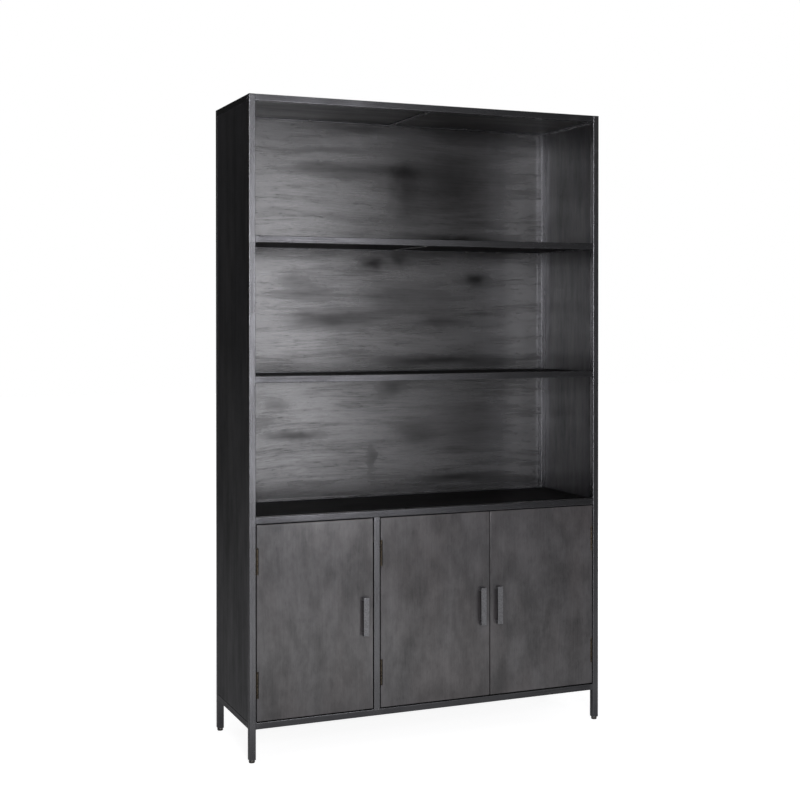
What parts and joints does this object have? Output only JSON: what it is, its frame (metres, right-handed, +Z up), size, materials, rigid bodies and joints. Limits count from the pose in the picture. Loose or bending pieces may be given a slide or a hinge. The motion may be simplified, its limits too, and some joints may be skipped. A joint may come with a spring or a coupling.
{
  "type": "bookcase with cupboard",
  "caption": "Tall industrial bookcase: welded square-tube frame with dark wood boards, open bays above hinged cupboard doors with strip handles.",
  "frame": {"origin": "on the floor under the middle of the bookcase, handles included in the depth", "axes": "+X to the right as seen from the front, +Y towards the wall behind, +Z up; the doors face -Y"},
  "size_m": [1.2, 0.397, 2],
  "materials": {
    "frame_steel": "dark gunmetal steel under clear satin lacquer, with ground welds",
    "door_wood": "charcoal stained hardwood, semi-gloss, vertical grain",
    "board_wood": "charcoal stained hardwood, semi-gloss",
    "back_wood": "charcoal stained veneer, semi-gloss, horizontal grain",
    "hinge_brass": "aged brass, dull",
    "glide_steel": "plain zinc plated steel",
    "catch_plastic": "brown moulded plastic"
  },
  "bodies": {
    "carcass": {"back_sheet": "back_wood", "bottom_board": "board_wood", "bottom_frame": "frame_steel", "bottom_left_rail": "frame_steel", "bottom_right_rail": "frame_steel", "centre_door_catch": "catch_plastic", "centre_door_lower_hinge_frame_leaf": "hinge_brass", "centre_door_upper_hinge_frame_leaf": "hinge_brass", "cupboard_partition": "board_wood", "deck_board": "board_wood", "deck_frame": "frame_steel", "front_left_glide": "glide_steel", "front_left_post": "frame_steel", "front_right_glide": "glide_steel", "front_right_post": "frame_steel", "left_cupboard_liner": "board_wood", "left_door_catch": "catch_plastic", "left_door_lower_hinge_frame_leaf": "hinge_brass", "left_door_upper_hinge_frame_leaf": "hinge_brass", "left_panel": "board_wood", "left_shelf_peg_front_left": "glide_steel", "left_shelf_peg_front_right": "glide_steel", "left_shelf_peg_rear_left": "glide_steel", "left_shelf_peg_rear_right": "glide_steel", "lower_shelf_board": "board_wood", "lower_shelf_frame": "frame_steel", "mullion_post": "frame_steel", "rear_left_glide": "glide_steel", "rear_left_post": "frame_steel", "rear_right_glide": "glide_steel", "rear_right_post": "frame_steel", "right_cupboard_liner": "board_wood", "right_door_catch": "catch_plastic", "right_door_lower_hinge_frame_leaf": "hinge_brass", "right_door_upper_hinge_frame_leaf": "hinge_brass", "right_panel": "board_wood", "right_shelf_peg_front_left": "glide_steel", "right_shelf_peg_front_right": "glide_steel", "right_shelf_peg_rear_left": "glide_steel", "right_shelf_peg_rear_right": "glide_steel", "top_board": "board_wood", "top_frame": "frame_steel", "top_left_rail": "frame_steel", "top_right_rail": "frame_steel", "upper_shelf_board": "board_wood", "upper_shelf_frame": "frame_steel"},
    "left_door": {"left_door": "door_wood", "left_door_handle": "frame_steel", "left_door_lower_hinge_door_leaf": "hinge_brass", "left_door_upper_hinge_door_leaf": "hinge_brass"},
    "centre_door": {"centre_door": "door_wood", "centre_door_handle": "frame_steel", "centre_door_lower_hinge_door_leaf": "hinge_brass", "centre_door_upper_hinge_door_leaf": "hinge_brass"},
    "right_door": {"right_door": "door_wood", "right_door_handle": "frame_steel", "right_door_lower_hinge_door_leaf": "hinge_brass", "right_door_upper_hinge_door_leaf": "hinge_brass"},
    "left_inner_shelf": {"left_inner_shelf": "board_wood"},
    "right_inner_shelf": {"right_inner_shelf": "board_wood"}
  },
  "joints": [
    {"name": "left_door_hinge", "type": "hinge", "parent": "carcass", "child": "left_door", "pos_m": [-0.5745, -0.1783, 0.4175], "axis": [0, 0, -1], "range_deg": [0, 110]},
    {"name": "centre_door_hinge", "type": "hinge", "parent": "carcass", "child": "centre_door", "pos_m": [-0.1745, -0.1783, 0.4175], "axis": [0, 0, -1], "range_deg": [0, 110]},
    {"name": "right_door_hinge", "type": "hinge", "parent": "carcass", "child": "right_door", "pos_m": [0.5745, -0.1783, 0.4175], "axis": [0, 0, 1], "range_deg": [0, 110]},
    {"name": "left_inner_shelf_lift", "type": "slide", "parent": "carcass", "child": "left_inner_shelf", "axis": [0, 0, 1], "range_m": [0, 0.1]},
    {"name": "right_inner_shelf_lift", "type": "slide", "parent": "carcass", "child": "right_inner_shelf", "axis": [0, 0, 1], "range_m": [0, 0.1]}
  ]
}
